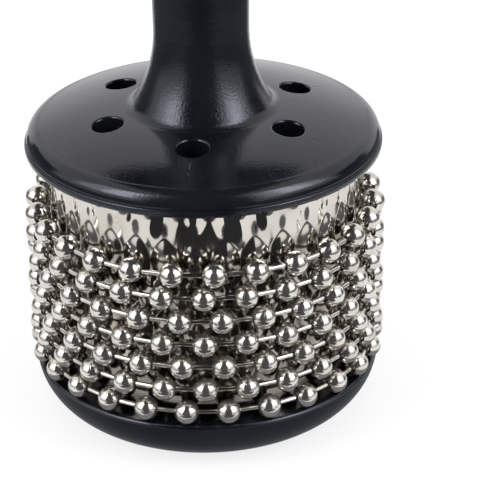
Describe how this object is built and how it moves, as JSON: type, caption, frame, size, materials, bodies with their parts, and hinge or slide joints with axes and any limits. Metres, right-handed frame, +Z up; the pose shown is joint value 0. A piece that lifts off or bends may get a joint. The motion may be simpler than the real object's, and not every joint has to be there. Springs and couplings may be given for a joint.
{
  "type": "cabasa",
  "caption": "Small cabasa: closed loops of ball chain turn freely round an embossed metal drum, held between a black vented disc with a flared handle and a round-edged bottom cap.",
  "frame": {"origin": "centre of the foot, on the surface it stands on", "axes": "+Z up the drum and the handle, -Y towards the player's side that the picture shows"},
  "size_m": [0.0898, 0.0898, 0.2015],
  "materials": {
    "black_moulding": "moulded black plastic, semi-gloss",
    "core_plastic": "plain moulded plastic",
    "drum_steel": "polished stainless sheet, embossed",
    "ball_nickel": "bright nickel plate",
    "link_nickel": "drawn wire, bright nickel plate",
    "bolt_steel": "zinc plated",
    "brass_bush": "turned"
  },
  "bodies": {
    "drum": {"handle_disc": "black_moulding", "neck_bush": "brass_bush", "drum_sheet": "drum_steel", "core_tube": "core_plastic", "bottom_cap": "black_moulding", "tie_bolt": "bolt_steel", "flat_washer": "bolt_steel", "spring_washer": "bolt_steel"},
    "chain_loop_1": {"chain_loop_1_balls": "ball_nickel", "chain_loop_1_links": "link_nickel"},
    "chain_loop_2": {"chain_loop_2_balls": "ball_nickel", "chain_loop_2_links": "link_nickel"},
    "chain_loop_3": {"chain_loop_3_balls": "ball_nickel", "chain_loop_3_links": "link_nickel"},
    "chain_loop_4": {"chain_loop_4_balls": "ball_nickel", "chain_loop_4_links": "link_nickel"},
    "chain_loop_5": {"chain_loop_5_balls": "ball_nickel", "chain_loop_5_links": "link_nickel"},
    "chain_loop_6": {"chain_loop_6_balls": "ball_nickel", "chain_loop_6_links": "link_nickel"},
    "chain_loop_7": {"chain_loop_7_balls": "ball_nickel", "chain_loop_7_links": "link_nickel"}
  },
  "joints": [
    {"name": "loop_1_spin", "type": "hinge", "parent": "drum", "child": "chain_loop_1", "pos_m": [0, 0, 0.0539], "axis": [0, 0, 1], "continuous": true},
    {"name": "loop_2_spin", "type": "hinge", "parent": "drum", "child": "chain_loop_2", "pos_m": [0, 0, 0.04775], "axis": [0, 0, 1], "continuous": true},
    {"name": "loop_3_spin", "type": "hinge", "parent": "drum", "child": "chain_loop_3", "pos_m": [0, 0, 0.0416], "axis": [0, 0, 1], "continuous": true},
    {"name": "loop_4_spin", "type": "hinge", "parent": "drum", "child": "chain_loop_4", "pos_m": [0, 0, 0.03545], "axis": [0, 0, 1], "continuous": true},
    {"name": "loop_5_spin", "type": "hinge", "parent": "drum", "child": "chain_loop_5", "pos_m": [0, 0, 0.0293], "axis": [0, 0, 1], "continuous": true},
    {"name": "loop_6_spin", "type": "hinge", "parent": "drum", "child": "chain_loop_6", "pos_m": [0, 0, 0.02315], "axis": [0, 0, 1], "continuous": true},
    {"name": "loop_7_spin", "type": "hinge", "parent": "drum", "child": "chain_loop_7", "pos_m": [0, 0, 0.017], "axis": [0, 0, 1], "continuous": true}
  ]
}
